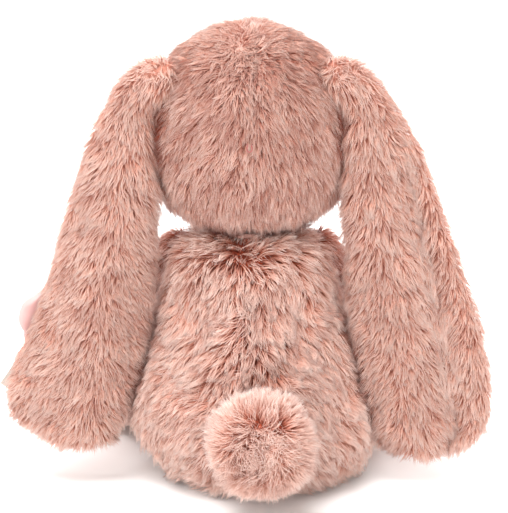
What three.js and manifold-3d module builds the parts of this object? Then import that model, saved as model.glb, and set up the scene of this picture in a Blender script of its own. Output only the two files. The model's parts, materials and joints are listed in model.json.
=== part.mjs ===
// A sitting stuffed bunny: long-pile covers over fibre stuffing, long hanging ears, four soft limbs,
// a pom-pom tail. Millimetres, +Z up, the face looks along -Y, the bunny's left side is +X, and the
// origin is the middle of the seat, on the surface that the toy sits on. The outside of each cover
// is the pile pressed to about half its height.
import * as THREE from "three";
import { mergeVertices } from "three/addons/utils/BufferGeometryUtils.js";
import Module from "manifold-3d";

const wasm = await Module();
wasm.setup();

// ---- driving dimensions ----
const GAP = 0.4; // clearance between neighbouring pieces
const CLEAR = 2 * GAP; // between a moving piece and what it moves past
const COVER = 5; // backing cloth and pressed pile
const SEAM = 0.4; // open width of a seam between two panels

const BODY = { height: 161, halfWidth: 78.5, depthRatio: 0.745, seatRadius: 45, seatThickness: 4 };
const SIDE_SEAM_Y = -12; // the side seams of the body lie in this plane
const HEAD = { centre: [0, -8, 230.5], halfWidth: 61, halfHeight: 62.5, depthRatio: 0.93 };
const HEAD_SEAM_Y = -16; // the face panel ends here
const MUZZLE = { centre: [0, -60, 208], half: [25, 17, 19] };
const NECK = { centre: [0, -4, 164], ball: 19, ring: 22, thread: 1.5 };

const EAR = { pivot: [54, 264], front: 11, lining: 3, back: 11, bevel: 4 };
// Each hanging ear: its centreline as [x, z, half width], from the root to the middle of the round
// tip, and how far the lining swells past the outer edge.
const EAR_SIDES = {
  left: {
    side: 1,
    roll: 20,
    line: [
      [54, 264, 10],
      [65, 257.5, 10],
      [73.5, 240, 13],
      [80.5, 205, 20.5],
      [86.5, 168, 26.5],
      [92, 138, 29],
      [101.5, 100, 34],
      [113, 67, 37],
    ],
  },
  right: {
    side: -1,
    roll: 0,
    line: [
      [54, 264, 10],
      [65, 257.5, 10],
      [74, 238, 13.8],
      [83, 207, 22.5],
      [90.5, 168, 29],
      [98.5, 129, 35],
      [108.5, 90, 38],
      [114, 60, 38],
    ],
  },
};
const EAR_ROOT_RADIUS = EAR_SIDES.left.line[0][2];
const EAR_ROLL_AT = 0.84; // share of the centreline where the swelling is widest
const EAR_ROLL_SPAN = 0.07;
const EAR_TIP_POWER = 0.74; // 1 is a half circle, and less is squarer

const ARM = { shoulder: [44, -20, 144], hand: [92, -40, 98], rootRadius: 15, handRadius: 18 };
const LEG = { hip: [48, -36, 32], splay: 45, rootRadius: 26, shaftRadius: 24, length: 96 };
const FOOT = { along: 78, rise: 14, half: [30, 30, 45.5] }; // along the leg, across it, upwards
const SOLE = { half: [25, 40], thickness: 5 };
const TAIL = { centre: [-7, 85, 53], radius: 25, opening: 9 };

const EYE = { angle: 27, z: 226, radius: 6.5, dome: 6, shank: 1.6, shankLength: 14, washerDeeper: 1.2 };
const NOSE = { z: 216, width: 15, height: 10, depth: 5, washerDeeper: 4.5 };
const WASHER = { radius: 6, thickness: 2 };
const LABEL = { width: 24, length: 40, thickness: 0.8, root: [120, 51], rise: 35 }; // in front of the left ear

// facets round and along a piece: finer on the outside of the covers than on what they hide
const OUTSIDE = { big: 24, limb: 14, alongBody: 12, alongHead: 14, foot: [16, 10], arc: 4 };
const INSIDE = { big: 16, limb: 10, alongBody: 9, alongHead: 10, foot: [12, 8], arc: 3 };
const facets = (distance) => (distance > 0 ? INSIDE : OUTSIDE);

// ---- materials ----
const material = (color, roughness, metalness = 0) =>
  new THREE.MeshStandardMaterial({ color, roughness, metalness });
const PLUSH = material(0xe6b4a6, 0.95);
const LINING = material(0xe3c5c3, 0.55);
const FIBRE = material(0xf4f1ec, 1.0);
const POUCH = material(0xe8e4da, 0.9);
const SEAM_THREAD = material(0xd9a99b, 0.8);
const EYE_PLASTIC = material(0x1a1210, 0.08);
const WASHER_PLASTIC = material(0xe9e9e6, 0.5);
const NOSE_PLASTIC = material(0x9c5a55, 0.35);
const MOUTH_THREAD = material(0x9c5a55, 0.7);
const RIBBON = material(0xd9cec6, 0.6);

// ---- solids ----
function solid(geometry) {
  const bare = geometry.clone();
  bare.deleteAttribute("normal");
  bare.deleteAttribute("uv");
  const merged = mergeVertices(bare, 1e-3);
  return new wasm.Manifold(
    new wasm.Mesh({
      numProp: 3,
      vertProperties: new Float32Array(merged.attributes.position.array),
      triVerts: new Uint32Array(merged.index.array),
    }),
  );
}

function geometryOf(body) {
  const mesh = body.getMesh();
  return new THREE.BufferGeometry()
    .setAttribute("position", new THREE.BufferAttribute(mesh.vertProperties, 3))
    .setIndex(new THREE.BufferAttribute(mesh.triVerts, 1));
}

const bunny = new THREE.Group();

function add(name, body, look) {
  const geometry = geometryOf(body).toNonIndexed();
  geometry.computeVertexNormals();
  const mesh = new THREE.Mesh(geometry, look);
  mesh.name = name;
  bunny.add(mesh);
}

function box(low, high) {
  const size = high.map((h, i) => h - low[i]);
  const middle = high.map((h, i) => (h + low[i]) / 2);
  return solid(new THREE.BoxGeometry(...size).translate(...middle));
}

function ellipsoid(centre, half, around) {
  const ball = new THREE.SphereGeometry(1, around, Math.round(around * 0.6));
  return solid(ball.rotateX(Math.PI / 2).scale(...half).translate(...centre));
}

// A profile of [radius, height] points, from the lowest to the highest, turned about Z.
function turned(profile, around) {
  const points = profile.map(([r, z]) => new THREE.Vector2(Math.max(r, 0), z));
  return new THREE.LatheGeometry(points, around).rotateX(Math.PI / 2).scale(1, -1, 1);
}

function turnedSolid(profile, around, place = (g) => g) {
  const geometry = turned(profile, around);
  // The mirror above turns the faces over, so each triangle is wound back.
  const index = geometry.index.array;
  for (let i = 0; i < index.length; i += 3) {
    [index[i + 1], index[i + 2]] = [index[i + 2], index[i + 1]];
  }
  return solid(place(geometry));
}

// The profile moved inwards by a distance, its two end points sliding along the axis.
function inset(profile, distance) {
  const last = profile.length - 1;
  return profile.map(([r, z], i) => {
    const before = profile[Math.max(i - 1, 0)];
    const after = profile[Math.min(i + 1, last)];
    const along = [after[0] - before[0], after[1] - before[1]];
    if (i === 0 || i === last) return [0, z + (i === 0 ? distance : -distance)];
    const length = Math.hypot(...along);
    return [r - (distance * along[1]) / length, z + (distance * along[0]) / length];
  });
}

const mirrored = (point, side) => [side * point[0], point[1], point[2]];

// ---- body ----
const bodyCurve = new THREE.SplineCurve(
  [
    [BODY.seatRadius, 0],
    [61, 8],
    [72.5, 22],
    [BODY.halfWidth, 43],
    [71, 70],
    [61, 98],
    [52.5, 120],
    [45.5, 146],
    [33, 158],
    [0, BODY.height],
  ].map(([r, z]) => new THREE.Vector2(r, z)),
);
function bodySolid(distance) {
  const { big, alongBody } = facets(distance);
  const profile = [[0, 0], ...bodyCurve.getPoints(alongBody).map((p) => [p.x, p.y])];
  return turnedSolid(inset(profile, distance), big, (g) => g.scale(1, BODY.depthRatio, 1));
}

// ---- limbs and what they turn in ----
const legAngle = THREE.MathUtils.degToRad(LEG.splay);
const legGroup = (side) => (g) => g.rotateZ(side * legAngle).translate(...mirrored(LEG.hip, side));

// The leg lies along -Y before it is splayed.
function legSolid(side, distance) {
  const place = legGroup(side);
  const { limb, foot: footFacets } = facets(distance);
  const ball = (r) => new THREE.SphereGeometry(r, limb, limb / 2 + 1).rotateX(Math.PI / 2);
  const shaft = new THREE.CylinderGeometry(
    LEG.shaftRadius - distance,
    LEG.rootRadius - distance,
    FOOT.along,
    limb,
  );
  const foot = new THREE.SphereGeometry(1, ...footFacets)
    .rotateX(Math.PI / 2)
    .scale(...[FOOT.half[1], FOOT.half[0], FOOT.half[2]].map((h) => h - distance))
    .translate(0, -FOOT.along, FOOT.rise);
  return solid(place(ball(LEG.rootRadius - distance)))
    .add(solid(place(shaft.rotateX(Math.PI).translate(0, -FOOT.along / 2, 0))))
    .add(solid(place(foot)));
}

// Everything on the hip's side of the sole plane, which lies at this distance from the hip.
function behindSole(side, along) {
  const block = new THREE.BoxGeometry(160, along + 60, 160);
  return solid(legGroup(side)(block.translate(0, 30 - along / 2, 0)));
}

function armFrame(side) {
  const from = new THREE.Vector3(...mirrored(ARM.shoulder, side));
  const to = new THREE.Vector3(...mirrored(ARM.hand, side));
  const along = to.clone().sub(from).normalize();
  const turn = new THREE.Quaternion().setFromUnitVectors(new THREE.Vector3(0, 0, 1), along);
  const place = (g) => g.applyQuaternion(turn).translate(...from.toArray());
  return { length: from.distanceTo(to), place };
}

function armSolid(side, distance) {
  const { length, place } = armFrame(side);
  const { limb, arc } = facets(distance);
  return turnedSolid(inset(armProfile(length, arc), distance), limb, place);
}

function armProfile(length, quarter) {
  const points = [];
  for (let i = 0; i <= quarter; i++) {
    const a = (Math.PI / 2) * (i / quarter);
    points.push([ARM.rootRadius * Math.sin(a), -ARM.rootRadius * Math.cos(a)]);
  }
  for (let i = 1; i < 4; i++) {
    points.push([ARM.rootRadius - 1.5 * Math.sin((Math.PI * i) / 4), (length * 0.8 * i) / 4]);
  }
  for (let i = 0; i <= quarter; i++) {
    const a = (Math.PI / 2) * (i / quarter);
    points.push([ARM.handRadius * Math.cos(a), length + (ARM.handRadius - 1) * Math.sin(a)]);
  }
  return points;
}

// ---- ears ----
// One side of an ear's outline, as points beside the centreline, out by the half width.
function earOutline(spec) {
  const line = new THREE.CatmullRomCurve3(spec.line.map((point) => new THREE.Vector3(...point)));
  const steps = 12;
  const inner = [];
  const outer = [];
  for (let i = 0; i <= steps; i++) {
    const share = i / steps;
    const at = line.getPoint(share);
    const ahead = line.getTangent(share);
    const across = new THREE.Vector2(-ahead.y, ahead.x).normalize();
    const swell = spec.swells
      ? spec.roll * Math.exp(-(((share - EAR_ROLL_AT) / EAR_ROLL_SPAN) ** 2))
      : 0;
    inner.push([at.x - across.x * at.z, at.y - across.y * at.z]);
    outer.push([at.x + across.x * (at.z + swell), at.y + across.y * (at.z + swell)]);
  }
  const cap = (middle, radius, from, turns, power) => {
    const points = [];
    const [right, up] = [Math.cos(from), Math.sin(from)];
    for (let i = 1; i < turns; i++) {
      const a = (Math.PI * i) / turns;
      const wide = radius * Math.sign(Math.cos(a)) * Math.abs(Math.cos(a)) ** power;
      const deep = radius * Math.sin(a) ** power;
      points.push([middle[0] + wide * right + deep * up, middle[1] + wide * up - deep * right]);
    }
    return points;
  };
  const tip = line.getPoint(1);
  const tipAhead = line.getTangent(1);
  const tipAngle = Math.atan2(tipAhead.y, tipAhead.x) + Math.PI / 2;
  const rootAhead = line.getTangent(0);
  const rootAngle = Math.atan2(rootAhead.y, rootAhead.x) - Math.PI / 2;
  const rootPoint = line.getPoint(0);
  return [
    ...outer,
    ...cap([tip.x, tip.y], tip.z, tipAngle, 9, EAR_TIP_POWER),
    ...inner.reverse(),
    ...cap([rootPoint.x, rootPoint.y], rootPoint.z, rootAngle, 5, 1),
  ];
}

// An outline in X and Z, as thick in Y as from front to back.
function slab(outline, side, front, back, bevel) {
  const shape = new THREE.Shape(outline.map(([x, z]) => new THREE.Vector2(side * x, z)));
  const geometry = new THREE.ExtrudeGeometry(shape, {
    depth: back - front - 2 * bevel,
    bevelEnabled: bevel > 0,
    bevelThickness: bevel,
    bevelSize: bevel,
    bevelOffset: -bevel,
    bevelSegments: 1,
    steps: 1,
  });
  return solid(geometry.rotateX(Math.PI / 2).translate(0, back - bevel, 0));
}

const earBackFrom = EAR.front + EAR.lining + GAP;
const earBackTo = earBackFrom + EAR.back;
function earSocket(side) {
  const socket = new THREE.CylinderGeometry(
    EAR_ROOT_RADIUS + CLEAR,
    EAR_ROOT_RADIUS + CLEAR,
    earBackTo - EAR.front + 4 * GAP,
    24,
  );
  return solid(socket.translate(side * EAR.pivot[0], (earBackTo + EAR.front) / 2, EAR.pivot[1]));
}

// ---- body pieces ----
const sides = { left: 1, right: -1 };
// The room that a limb needs in the body: the limb, grown a little, at steps of its swing.
function swept(limb, pivot, axis, degrees) {
  return degrees.map((angle) => {
    const turn = new THREE.Matrix4()
      .makeTranslation(...pivot)
      .multiply(new THREE.Matrix4().makeRotationAxis(axis, THREE.MathUtils.degToRad(angle)))
      .multiply(new THREE.Matrix4().makeTranslation(...pivot.map((v) => -v)));
    return limb.transform(turn.elements);
  });
}
const rootRoom = (point, side, radius) => ellipsoid(mirrored(point, side), [radius, radius, radius], 12);
const tubeRoom = (radius, length, place) =>
  solid(place(new THREE.CylinderGeometry(radius, radius, length, 12).rotateX(Math.PI / 2)));
const limbRooms = Object.values(sides).flatMap((side) => {
  const arm = armFrame(side);
  const alongArm = (g) => arm.place(g.translate(0, 0, arm.length / 2));
  const alongLeg = (g) => legGroup(side)(g.rotateX(Math.PI / 2).translate(0, -FOOT.along / 2, 0));
  const armTube = tubeRoom(ARM.rootRadius + CLEAR, arm.length, alongArm);
  const legTube = tubeRoom(LEG.rootRadius + CLEAR, FOOT.along, alongLeg);
  const legAxis = new THREE.Vector3(-Math.cos(legAngle), -side * Math.sin(legAngle), 0);
  return [
    rootRoom(ARM.shoulder, side, ARM.rootRadius + 3 * GAP),
    rootRoom(LEG.hip, side, LEG.rootRadius + 4 * GAP),
    ...swept(armTube, mirrored(ARM.shoulder, side), new THREE.Vector3(0, -side, 0), [0, 60]),
    ...swept(legTube, mirrored(LEG.hip, side), legAxis, [0, 20]),
  ];
});
const rootRooms = Object.values(sides).flatMap((side) => [
  rootRoom(ARM.shoulder, side, ARM.rootRadius + 3),
  rootRoom(LEG.hip, side, LEG.rootRadius + 4),
]);
const disc = (radius, low, high) => {
  const round = new THREE.CylinderGeometry(radius, radius, high - low, OUTSIDE.big);
  return solid(round.rotateX(Math.PI / 2).translate(0, 0, (low + high) / 2));
};
const seatEdge = BODY.seatRadius * BODY.depthRatio - 3;

// The stuffing of the neck is a ball, so the head can nod and turn on it inside both openings.
const neckBall = (radius) => ellipsoid(NECK.centre, [radius, radius, radius], 16);
const neckOpening = neckBall(NECK.ball + CLEAR);

let bodyShell = bodySolid(0).subtract(bodySolid(COVER)).subtract(neckOpening);
bodyShell = bodyShell.subtract(disc(seatEdge + GAP, -1, COVER + 1));
for (const room of limbRooms) bodyShell = bodyShell.subtract(room);

const far = 400;
const behind = (y) => box([-far, y + SEAM / 2, -far], [far, far, far]);
const before = (y) => box([-far, -far, -far], [far, y - SEAM / 2, far]);
const onLeft = box([SEAM / 2, -far, -far], [far, far, far]);
const onRight = box([-far, -far, -far], [-SEAM / 2, far, far]);
const onSide = (side) => (side > 0 ? onLeft : onRight);

add("body_front_panel", bodyShell.intersect(before(SIDE_SEAM_Y)), PLUSH);
for (const [name, side] of Object.entries(sides)) {
  const half = bodyShell.intersect(behind(SIDE_SEAM_Y)).intersect(onSide(side));
  add(`body_back_panel_${name}`, half, PLUSH);
}
add("seat_panel", disc(seatEdge, 0, BODY.seatThickness), PLUSH);

const pouchLow = BODY.seatThickness + 2 * GAP;
const pouch = (grow) =>
  turnedSolid(
    [
      [0, pouchLow - 3 * grow],
      [24 + grow, pouchLow - 3 * grow],
      [29 + grow, pouchLow + 7],
      [26 + grow, pouchLow + 17],
      [14 + grow, pouchLow + 23 + grow],
      [0, pouchLow + 24 + grow],
    ],
    24,
  );
let bodyStuffing = bodySolid(COVER + GAP).subtract(pouch(GAP)).subtract(neckOpening);
for (const room of rootRooms) bodyStuffing = bodyStuffing.subtract(room);
add("body_stuffing", bodyStuffing, FIBRE);
add("pellet_pouch", pouch(0), POUCH);

// ---- neck ----
const neckCurve = new THREE.EllipseCurve(0, 0, NECK.thread, NECK.thread);
const neckProfile = neckCurve.getPoints(6).map((p) => [NECK.ring + p.x, p.y]);
add("neck_stitching", turnedSolid(neckProfile, 18, (g) => g.translate(...NECK.centre)), SEAM_THREAD);
add("neck_stuffing", neckBall(NECK.ball), FIBRE);

// ---- head pieces ----
function headProfile(steps) {
  const profile = [];
  for (let i = 0; i <= steps; i++) {
    const a = -Math.PI / 2 + (Math.PI * i) / steps;
    const fullness = a < 0 ? 2 / 2.9 : 2 / 2.05; // a broad flat underside, a round crown
    const up = Math.sign(a) * Math.abs(Math.sin(a)) ** fullness;
    const out = i % steps === 0 ? 0 : Math.cos(a) ** fullness;
    profile.push([HEAD.halfWidth * out, HEAD.halfHeight * up]);
  }
  return profile;
}

function headSolid(distance) {
  const { big, alongHead } = facets(distance);
  const skull = turnedSolid(inset(headProfile(alongHead), distance), big, (g) =>
    g.scale(1, HEAD.depthRatio, 1).translate(...HEAD.centre),
  );
  const muzzle = ellipsoid(MUZZLE.centre, MUZZLE.half.map((h) => h - distance), facets(distance).limb);
  return skull.add(muzzle);
}

// An eye or nose and its washer are made along +Z and then laid along the outward direction.
function outwards(at, direction) {
  const turn = new THREE.Quaternion().setFromUnitVectors(
    new THREE.Vector3(0, 0, 1),
    new THREE.Vector3(...direction).normalize(),
  );
  return (g) => g.applyQuaternion(turn).translate(...at);
}

const rod = (radius, low, high, place) => {
  const round = new THREE.CylinderGeometry(radius, radius, high - low, 12);
  return solid(place(round.rotateX(Math.PI / 2).translate(0, 0, (low + high) / 2)));
};

const shankDepth = -EYE.shankLength;
const washerAt = -COVER - 3 * GAP - WASHER.thickness;

const washer = (place, deeper) =>
  rod(WASHER.radius, washerAt - deeper, washerAt - deeper + WASHER.thickness, place);
// The washer lies between the cloth and the stuffing, so its pocket is open towards the cloth.
const washerPocket = (place, deeper) => rod(WASHER.radius + GAP, washerAt - deeper - GAP, 2, place);

const eyes = Object.entries(sides).map(([name, side]) => {
  const angle = THREE.MathUtils.degToRad(EYE.angle);
  const halfDepth = HEAD.halfWidth * HEAD.depthRatio;
  const at = [side * HEAD.halfWidth * Math.sin(angle), HEAD.centre[1] - halfDepth * Math.cos(angle), EYE.z];
  const normal = [(side * Math.sin(angle)) / HEAD.halfWidth, -Math.cos(angle) / halfDepth, 0];
  return { name, place: outwards(at, normal), deeper: EYE.washerDeeper };
});
const noseRise = (NOSE.z - MUZZLE.centre[2]) / MUZZLE.half[2];
const noseY = MUZZLE.centre[1] - MUZZLE.half[1] * Math.sqrt(1 - noseRise ** 2);
const nosePlace = outwards([0, noseY, NOSE.z], [0, -1, 0.35]);

let headOuter = headSolid(0).subtract(neckOpening);
let headStuffing = headSolid(COVER + GAP).subtract(neckOpening);
for (const { place, deeper } of [...eyes, { place: nosePlace, deeper: NOSE.washerDeeper }]) {
  headOuter = headOuter.subtract(rod(EYE.shank + GAP, shankDepth - 2, 8, place));
  headStuffing = headStuffing
    .subtract(rod(EYE.shank + GAP, shankDepth - 2, 8, place))
    .subtract(washerPocket(place, deeper));
}
let headShell = headOuter.subtract(headSolid(COVER));
for (const side of Object.values(sides)) {
  headShell = headShell.subtract(earSocket(side));
  headStuffing = headStuffing.subtract(earSocket(side));
}
add("face_panel", headShell.intersect(before(HEAD_SEAM_Y)), PLUSH);
for (const [name, side] of Object.entries(sides)) {
  const half = headShell.intersect(behind(HEAD_SEAM_Y)).intersect(onSide(side));
  add(`head_back_panel_${name}`, half, PLUSH);
}
add("head_stuffing", headStuffing, FIBRE);

const domeStart = 1.2; // the dome's back stands clear of the curved face
const domeProfile = [[0, domeStart]];
for (let i = 0; i <= 6; i++) {
  const a = (Math.PI / 2) * (i / 6);
  domeProfile.push([EYE.radius * Math.cos(a), domeStart + 1 + (EYE.dome - 1) * Math.sin(a)]);
}
domeProfile[domeProfile.length - 1][0] = 0;
for (const { name, place, deeper } of eyes) {
  const dome = turnedSolid(domeProfile, 16, place);
  add(`eye_${name}`, dome.add(rod(EYE.shank, shankDepth, domeStart + 1, place)), EYE_PLASTIC);
  const ring = washer(place, deeper).subtract(rod(EYE.shank + GAP / 2, shankDepth, 8, place));
  add(`eye_washer_${name}`, ring, WASHER_PLASTIC);
}

const noseShape = new THREE.Shape();
noseShape.moveTo(0, -NOSE.height / 2);
noseShape.quadraticCurveTo(NOSE.width * 0.55, 0, NOSE.width / 2, NOSE.height * 0.3);
noseShape.quadraticCurveTo(NOSE.width * 0.3, NOSE.height * 0.62, 0, NOSE.height / 2);
noseShape.quadraticCurveTo(-NOSE.width * 0.3, NOSE.height * 0.62, -NOSE.width / 2, NOSE.height * 0.3);
noseShape.quadraticCurveTo(-NOSE.width * 0.55, 0, 0, -NOSE.height / 2);
const noseButton = new THREE.ExtrudeGeometry(noseShape, {
  depth: NOSE.depth - 2.4,
  bevelThickness: 1.2,
  bevelSize: 1.2,
  bevelOffset: -1.2,
  bevelSegments: 2,
  curveSegments: 6,
});
const noseStand = 0.8; // the button's back stands clear of the domed muzzle
const nose = solid(nosePlace(noseButton.rotateZ(Math.PI).translate(0, 0, noseStand + 1.2)));
add("nose", nose.add(rod(EYE.shank, shankDepth, noseStand + 2, nosePlace)), NOSE_PLASTIC);
add(
  "nose_washer",
  washer(nosePlace, NOSE.washerDeeper).subtract(rod(EYE.shank + GAP / 2, shankDepth, 8, nosePlace)),
  WASHER_PLASTIC,
);

// The mouth is one thread: down from under the nose, and out to each side along the muzzle.
const mouthThread = 0.8;
function onMuzzle(x, z) {
  const grown = MUZZLE.half.map((h) => h + mouthThread + GAP);
  const across = (x / grown[0]) ** 2 + ((z - MUZZLE.centre[2]) / grown[2]) ** 2;
  return new THREE.Vector3(x, MUZZLE.centre[1] - grown[1] * Math.sqrt(1 - across), z);
}
const threadAlong = (points) => {
  const section = new THREE.Shape();
  section.absarc(0, 0, mouthThread, 0, 2 * Math.PI);
  const path = new THREE.CatmullRomCurve3(points);
  return solid(
    new THREE.ExtrudeGeometry(section, {
      steps: 8,
      extrudePath: path,
      curveSegments: 3,
      bevelEnabled: false,
    }),
  );
};
const smile = (side) => [0, 3, 6, 9, 12].map((x) => onMuzzle(side * x, 201 - 3 * Math.sin((x / 12) * 2.4)));
const mouth = threadAlong([onMuzzle(0, 208.5), onMuzzle(0, 204.5), onMuzzle(0, 200.6)])
  .add(threadAlong(smile(1)))
  .add(threadAlong(smile(-1)));
add("mouth_stitching", mouth, MOUTH_THREAD);

// ---- ears ----
for (const [name, spec] of Object.entries(EAR_SIDES)) {
  const plain = earOutline({ ...spec, swells: false });
  const rolled = earOutline({ ...spec, swells: true });
  add(`ear_back_${name}`, slab(plain, spec.side, earBackFrom, earBackTo, EAR.bevel), PLUSH);
  add(`ear_lining_${name}`, slab(rolled, spec.side, EAR.front, EAR.front + EAR.lining, 1), LINING);
}

// ---- arms ----
for (const [name, side] of Object.entries(sides)) {
  const mouthOfArm = rod(7, -ARM.rootRadius - 2, 0, armFrame(side).place);
  const cover = armSolid(side, 0).subtract(armSolid(side, COVER - 1)).subtract(mouthOfArm);
  add(`arm_cover_${name}`, cover, PLUSH);
  add(`arm_stuffing_${name}`, armSolid(side, COVER - 1 + GAP), FIBRE);
}

// ---- legs ----
for (const [name, side] of Object.entries(sides)) {
  const cover = legSolid(side, 0).intersect(behindSole(side, LEG.length));
  const inside = legSolid(side, COVER - 1);
  add(`leg_cover_${name}`, cover.subtract(inside), PLUSH);
  const filling = legSolid(side, COVER - 1 + GAP).intersect(behindSole(side, LEG.length - 1));
  add(`leg_stuffing_${name}`, filling, FIBRE);
  const dome = turnedSolid(
    [
      [0, 0],
      [0.9, 0],
      [1, 0.25],
      [0.85, 0.6],
      [0.5, 0.9],
      [0, 1],
    ],
    28,
    (g) =>
      legGroup(side)(
        g
          .scale(SOLE.half[0], SOLE.half[1], SOLE.thickness)
          .rotateX(Math.PI / 2)
          .translate(0, -LEG.length - GAP, FOOT.rise),
      ),
  );
  add(`foot_sole_${name}`, dome, LINING);
}

// ---- tail ----
const tailPlace = (g) => g.translate(...TAIL.centre);
const tailBall = (distance) =>
  ellipsoid(TAIL.centre, Array(3).fill(TAIL.radius - distance), facets(distance).big - 6);
const tailMouth = solid(
  tailPlace(new THREE.CylinderGeometry(TAIL.opening, TAIL.opening, 30, 20).translate(0, -20, 0)),
);
add("tail_cover", tailBall(0).subtract(tailBall(COVER)).subtract(tailMouth), PLUSH);
add("tail_stuffing", tailBall(COVER + GAP), FIBRE);

// ---- care label ----
const label = new THREE.BoxGeometry(LABEL.length, LABEL.thickness, LABEL.width)
  .translate(LABEL.length / 2, -LABEL.thickness / 2, 0)
  .rotateY(-THREE.MathUtils.degToRad(LABEL.rise))
  .translate(LABEL.root[0], EAR.front - GAP, LABEL.root[1]);
add("care_label", solid(label), RIBBON);

export default bunny;
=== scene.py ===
"""A sitting plush bunny: pile grown as tufts of fibre over sewn skins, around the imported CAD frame."""

import json
import math

import bpy
import numpy as np
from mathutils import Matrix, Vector, bvhtree, kdtree


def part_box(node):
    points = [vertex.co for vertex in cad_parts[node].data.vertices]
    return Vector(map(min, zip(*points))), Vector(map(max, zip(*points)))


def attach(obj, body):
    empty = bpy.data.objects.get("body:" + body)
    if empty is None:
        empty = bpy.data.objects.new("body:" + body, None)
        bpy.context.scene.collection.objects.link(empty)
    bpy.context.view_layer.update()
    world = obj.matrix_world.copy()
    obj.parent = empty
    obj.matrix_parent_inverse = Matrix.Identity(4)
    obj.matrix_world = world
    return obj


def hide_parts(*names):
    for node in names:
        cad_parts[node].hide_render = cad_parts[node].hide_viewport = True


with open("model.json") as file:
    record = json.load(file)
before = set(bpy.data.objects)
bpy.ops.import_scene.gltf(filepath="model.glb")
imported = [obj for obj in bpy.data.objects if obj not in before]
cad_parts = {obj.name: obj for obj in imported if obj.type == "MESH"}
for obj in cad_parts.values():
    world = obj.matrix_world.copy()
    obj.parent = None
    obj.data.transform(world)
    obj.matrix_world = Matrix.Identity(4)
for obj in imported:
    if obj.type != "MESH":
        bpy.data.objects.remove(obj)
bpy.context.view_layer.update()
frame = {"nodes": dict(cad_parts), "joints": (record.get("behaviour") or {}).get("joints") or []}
MM = 0.001
SIDES = {"left": 1.0, "right": -1.0}
UP = np.array([0.0, 0.0, 1.0])
CREASE_SHADE_REACH = (0.0, 0.010)  # how near, in metres, a neighbour fully and barely darkens the tip of a tuft with painted crease shade
UNSHADED_EAR_ROOTS = (0.232, 0.252)  # between these heights, at the ear roots, the painted crease shade fades out


# ---- small helpers ----
def srgb(red, green, blue):
    """A colour given in sRGB steps of 0 to 255, as linear RGBA."""
    steps = (c / 255 for c in (red, green, blue))
    return (*(c / 12.92 if c <= 0.04045 else ((c + 0.055) / 1.055) ** 2.4 for c in steps), 1.0)


def unit(vectors):
    """Each vector at length 1."""
    return vectors / np.maximum(np.linalg.norm(vectors, axis=-1, keepdims=True), 1e-9)


def tangential(vectors, normals):
    """The part of each vector that lies along the surface, at length 1."""
    return unit(vectors - (vectors * normals).sum(-1, keepdims=True) * normals)


def smooth_step(value, low, high):
    """0 below low, 1 above high, and a smooth rise in between."""
    t = np.clip((value - low) / (high - low), 0, 1)
    return t * t * (3 - 2 * t)


def ripple(points, wavelength, seed, waves=14):
    """A smooth random value from about -1 to 1 at each point, which changes over about one wavelength."""
    rng = np.random.default_rng(seed)
    ways = unit(rng.normal(0, 1, (waves, 3))) * rng.uniform(0.6, 1.4, (waves, 1)) * 2 * math.pi / wavelength
    phases = rng.uniform(0, 2 * math.pi, waves)
    return np.sin(points @ ways.T + phases).sum(1) / math.sqrt(waves / 2) * 0.7


def whorls(points, wavelength, seed):
    """A smooth random direction at each point."""
    return np.stack([ripple(points, wavelength, seed + i) for i in range(3)], axis=1)


def bell(distance, reach):
    """1 at no distance, falling smoothly to nearly 0 at twice the reach."""
    return np.exp(-((distance / reach) ** 2))


def distance_from(points, place):
    return np.linalg.norm(points - place, axis=1)


def box_of(*nodes):
    """The lowest and the highest corner of all these CAD nodes together."""
    boxes = [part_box(n) for n in nodes]
    low = np.min([np.array(b[0]) for b in boxes], axis=0)
    high = np.max([np.array(b[1]) for b in boxes], axis=0)
    return low, high


def cad_surface(node):
    """A CAD node's surface, for finding what is near it or in a ray's way."""
    data = frame["nodes"][node].data
    return bvhtree.BVHTree.FromPolygons([v.co for v in data.vertices], [p.vertices for p in data.polygons])


def painted_crease_shade(points, nodes):
    """Painted crease shade: 1 where a CAD part of another piece lies against the pile, falling to 0 where it
    is far off.
    """
    distance = np.full(len(points), CREASE_SHADE_REACH[1])
    for node in nodes:
        surface = cad_surface(node)
        for i, point in enumerate(points):
            found = surface.find_nearest(point, CREASE_SHADE_REACH[1])[3]
            if found is not None and found < distance[i]:
                distance[i] = found
    return 1 - smooth_step(distance, *CREASE_SHADE_REACH)


def new_object(name, mesh):
    piece = bpy.data.objects.new(name, mesh)
    bpy.context.scene.collection.objects.link(piece)
    return piece


def finish_piece(piece, body, material, replaces=()):
    """Gives a piece its material and its body, and hides the CAD nodes that it stands for."""
    piece.data.materials.clear()
    piece.data.materials.append(material)
    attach(piece, body)
    if replaces:
        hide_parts(*replaces)
    return piece


# ---- materials ----
PATCHES = 45  # soft patches of tone per metre of cloth


def plain_material(name, roughness, specular=0.3, sheen=0.0):
    """A material with one plain surface, its node tree, and its shader."""
    material = bpy.data.materials.new(name)
    material.use_nodes = True
    shader = material.node_tree.nodes["Principled BSDF"]
    shader.inputs["Roughness"].default_value = roughness
    shader.inputs["Specular IOR Level"].default_value = specular
    shader.inputs["Sheen Weight"].default_value = sheen
    shader.inputs["Sheen Roughness"].default_value = 0.4
    return material, material.node_tree, shader


def ramp(tree, stops):
    """Colours at places from 0 to 1, blended in between."""
    node = tree.nodes.new("ShaderNodeValToRGB")
    elements = node.color_ramp.elements
    elements[0].position, elements[0].color = stops[0]
    elements[1].position, elements[1].color = stops[-1]
    for position, colour in stops[1:-1]:
        elements.new(position).color = colour
    return node


def noise(tree, scale, detail=4.0, roughness=0.6):
    """Random patches in the object's own space; the scale is in patches per metre."""
    place = tree.nodes.new("ShaderNodeTexCoord")
    texture = tree.nodes.new("ShaderNodeTexNoise")
    texture.inputs["Scale"].default_value = scale
    texture.inputs["Detail"].default_value = detail
    texture.inputs["Roughness"].default_value = roughness
    tree.links.new(place.outputs["Object"], texture.inputs["Vector"])
    return texture


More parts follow.
